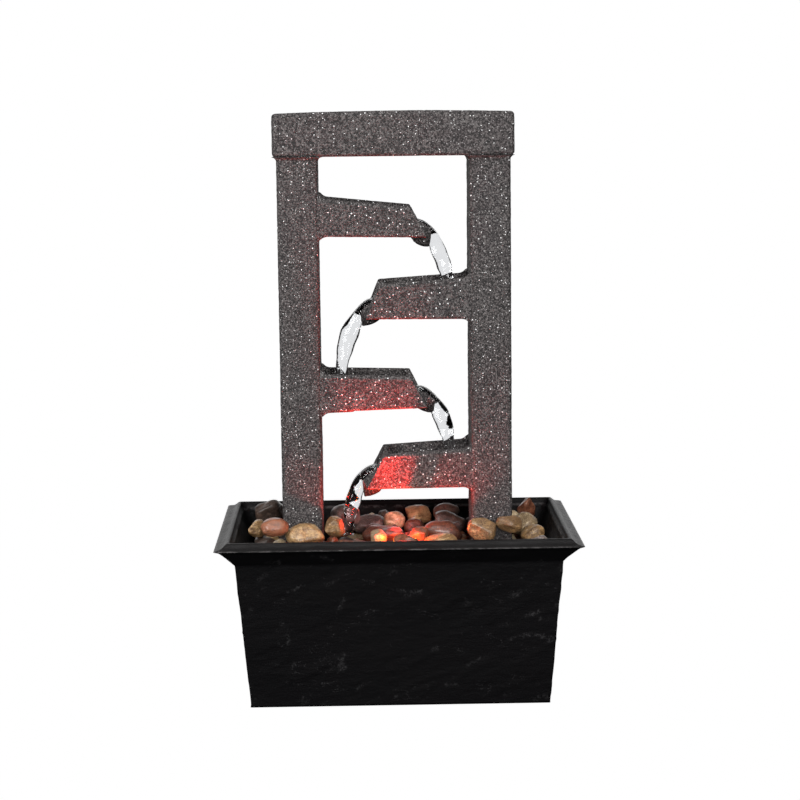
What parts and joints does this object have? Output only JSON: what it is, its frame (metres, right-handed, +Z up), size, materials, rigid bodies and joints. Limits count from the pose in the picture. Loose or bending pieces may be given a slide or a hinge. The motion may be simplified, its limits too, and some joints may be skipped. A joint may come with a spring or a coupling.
{
  "type": "tabletop water fountain",
  "caption": "Tabletop fountain: a tapered black basin of pebbles under a two-post stone tower whose open troughs spill water from one to the next, lit from below.",
  "frame": {"origin": "on the ground, under the centre of the basin", "axes": "+Z up, +X to the right as seen from the front, +Y towards the back"},
  "size_m": [0.1786, 0.125, 0.2917],
  "materials": {
    "basin_resin": "black cast resin with a riven slate relief",
    "tower_resin": "charcoal cast stone resin with pale flecks",
    "foot_rubber": "soft black rubber",
    "grommet_rubber": "soft black rubber",
    "cup_rubber": "soft translucent grey rubber",
    "deck_plastic": "black moulded plastic",
    "screw_steel": "stainless",
    "clear_tube": "clear flexible vinyl",
    "elbow_plastic": "black moulded plastic",
    "pump_plastic": "black moulded plastic",
    "intake_plastic": "black moulded plastic",
    "dial_plastic": "grey moulded plastic",
    "core_steel": "laminated steel",
    "coil_copper": "enamelled copper winding",
    "rotor_plastic": "bonded magnet and vanes",
    "shaft_ceramic": "polished ceramic",
    "light_plastic": "black moulded plastic",
    "board_plastic": "circuit board",
    "led_chip": "lit red chip",
    "led_lens": "clear domed lens, lit from below",
    "lead_plastic": "black sheath",
    "stone_tan": "tumbled river pebble",
    "stone_cream": "tumbled river pebble",
    "stone_brown": "tumbled river pebble",
    "stone_red": "tumbled river pebble",
    "stone_grey": "tumbled river pebble",
    "water": "clear falling water"
  },
  "bodies": {
    "fountain": {"basin": "basin_resin", "cord_grommet": "grommet_rubber", "deck_plate": "deck_plastic", "impeller_cover": "pump_plastic", "impeller_shaft": "shaft_ceramic", "led_board": "board_plastic", "led_chips": "led_chip", "led_housing": "light_plastic", "led_lead": "lead_plastic", "led_lens": "led_lens", "left_post": "tower_resin", "lintel": "tower_resin", "outlet_elbow": "elbow_plastic", "pebbles_brown": "stone_brown", "pebbles_cream": "stone_cream", "pebbles_grey": "stone_grey", "pebbles_red": "stone_red", "pebbles_tan": "stone_tan", "post_screws": "screw_steel", "pump_back_cover": "pump_plastic", "pump_housing": "pump_plastic", "right_post": "tower_resin", "rotor_bushes": "foot_rubber", "rubber_feet": "foot_rubber", "stator_coil": "coil_copper", "stator_core": "core_steel", "suction_cups": "cup_rubber", "supply_tube": "clear_tube", "trough_1": "tower_resin", "trough_2": "tower_resin", "trough_3": "tower_resin", "trough_4": "tower_resin", "water_stream_1": "water", "water_stream_2": "water", "water_stream_3": "water", "water_stream_4": "water"},
    "intake": {"intake_cover": "intake_plastic"},
    "dial": {"flow_dial": "dial_plastic"},
    "rotor": {"impeller": "rotor_plastic"},
    "lid": {"lid_pebbles_brown": "stone_brown", "lid_pebbles_cream": "stone_cream", "lid_pebbles_grey": "stone_grey", "lid_pebbles_red": "stone_red", "lid_pebbles_tan": "stone_tan", "access_lid": "deck_plastic"}
  },
  "joints": [
    {"name": "impeller_spin", "type": "hinge", "parent": "fountain", "child": "rotor", "pos_m": [-0.035, 0, 0.024], "axis": [1, 0, 0], "continuous": true},
    {"name": "intake_pull", "type": "slide", "parent": "fountain", "child": "intake", "axis": [-1, 0, 0], "range_m": [0, 0.004]},
    {"name": "flow_dial_turn", "type": "hinge", "parent": "intake", "child": "dial", "pos_m": [-0.062, 0, 0.024], "axis": [1, 0, 0], "range_deg": [0, 90]},
    {"name": "lid_lift", "type": "slide", "parent": "fountain", "child": "lid", "axis": [0, 0, 1], "range_m": [0, 0.012]}
  ]
}
